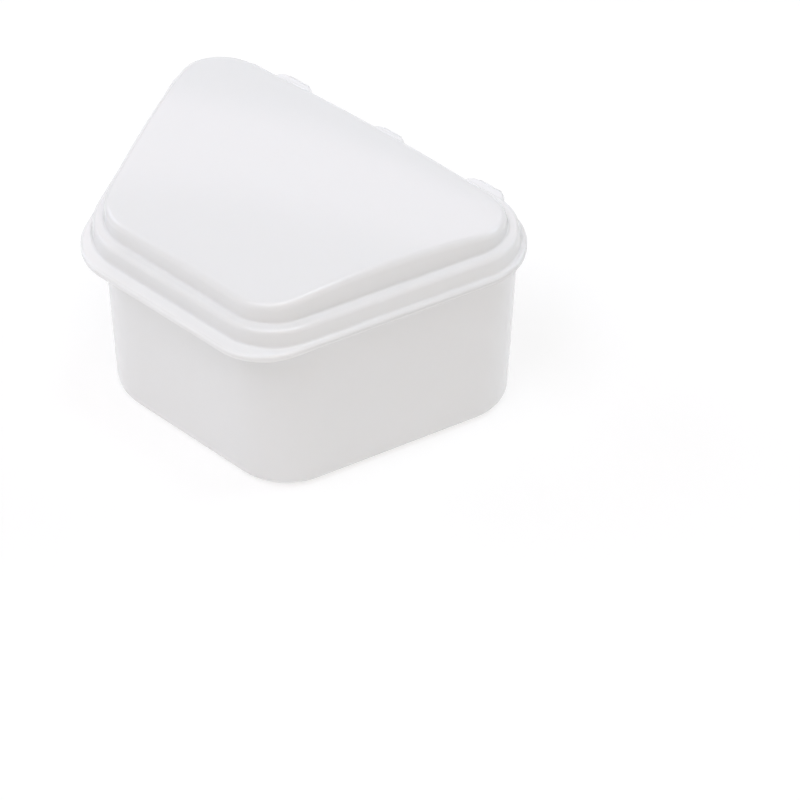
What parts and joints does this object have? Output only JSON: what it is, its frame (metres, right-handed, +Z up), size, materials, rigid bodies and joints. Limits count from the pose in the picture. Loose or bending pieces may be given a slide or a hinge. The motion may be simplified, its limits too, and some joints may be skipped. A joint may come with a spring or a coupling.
{
  "type": "denture case",
  "caption": "Hinged denture case: a deep tub, rounded trapezoid in plan, with a stepped, crowned lid that opens on living hinges along the long side.",
  "frame": {"origin": "centre of the bounding box at table level", "axes": "+X along the hinge side, to the right seen from the front; +Y towards the hinge side; +Z up"},
  "size_m": [0.0904, 0.0698, 0.052],
  "materials": {
    "white_polypropylene": "satin moulded polypropylene, milky white"
  },
  "bodies": {
    "tub": {"tub": "white_polypropylene", "left_hinge_web": "white_polypropylene", "middle_hinge_web": "white_polypropylene", "right_hinge_web": "white_polypropylene"},
    "lid": {"lid": "white_polypropylene"}
  },
  "joints": [
    {"name": "lid_hinge", "type": "hinge", "parent": "tub", "child": "lid", "pos_m": [0, 0.03454, 0.04057], "axis": [-1, 0, 0], "range_deg": [0, 180], "deforming": ["left_hinge_web", "middle_hinge_web", "right_hinge_web"]}
  ]
}
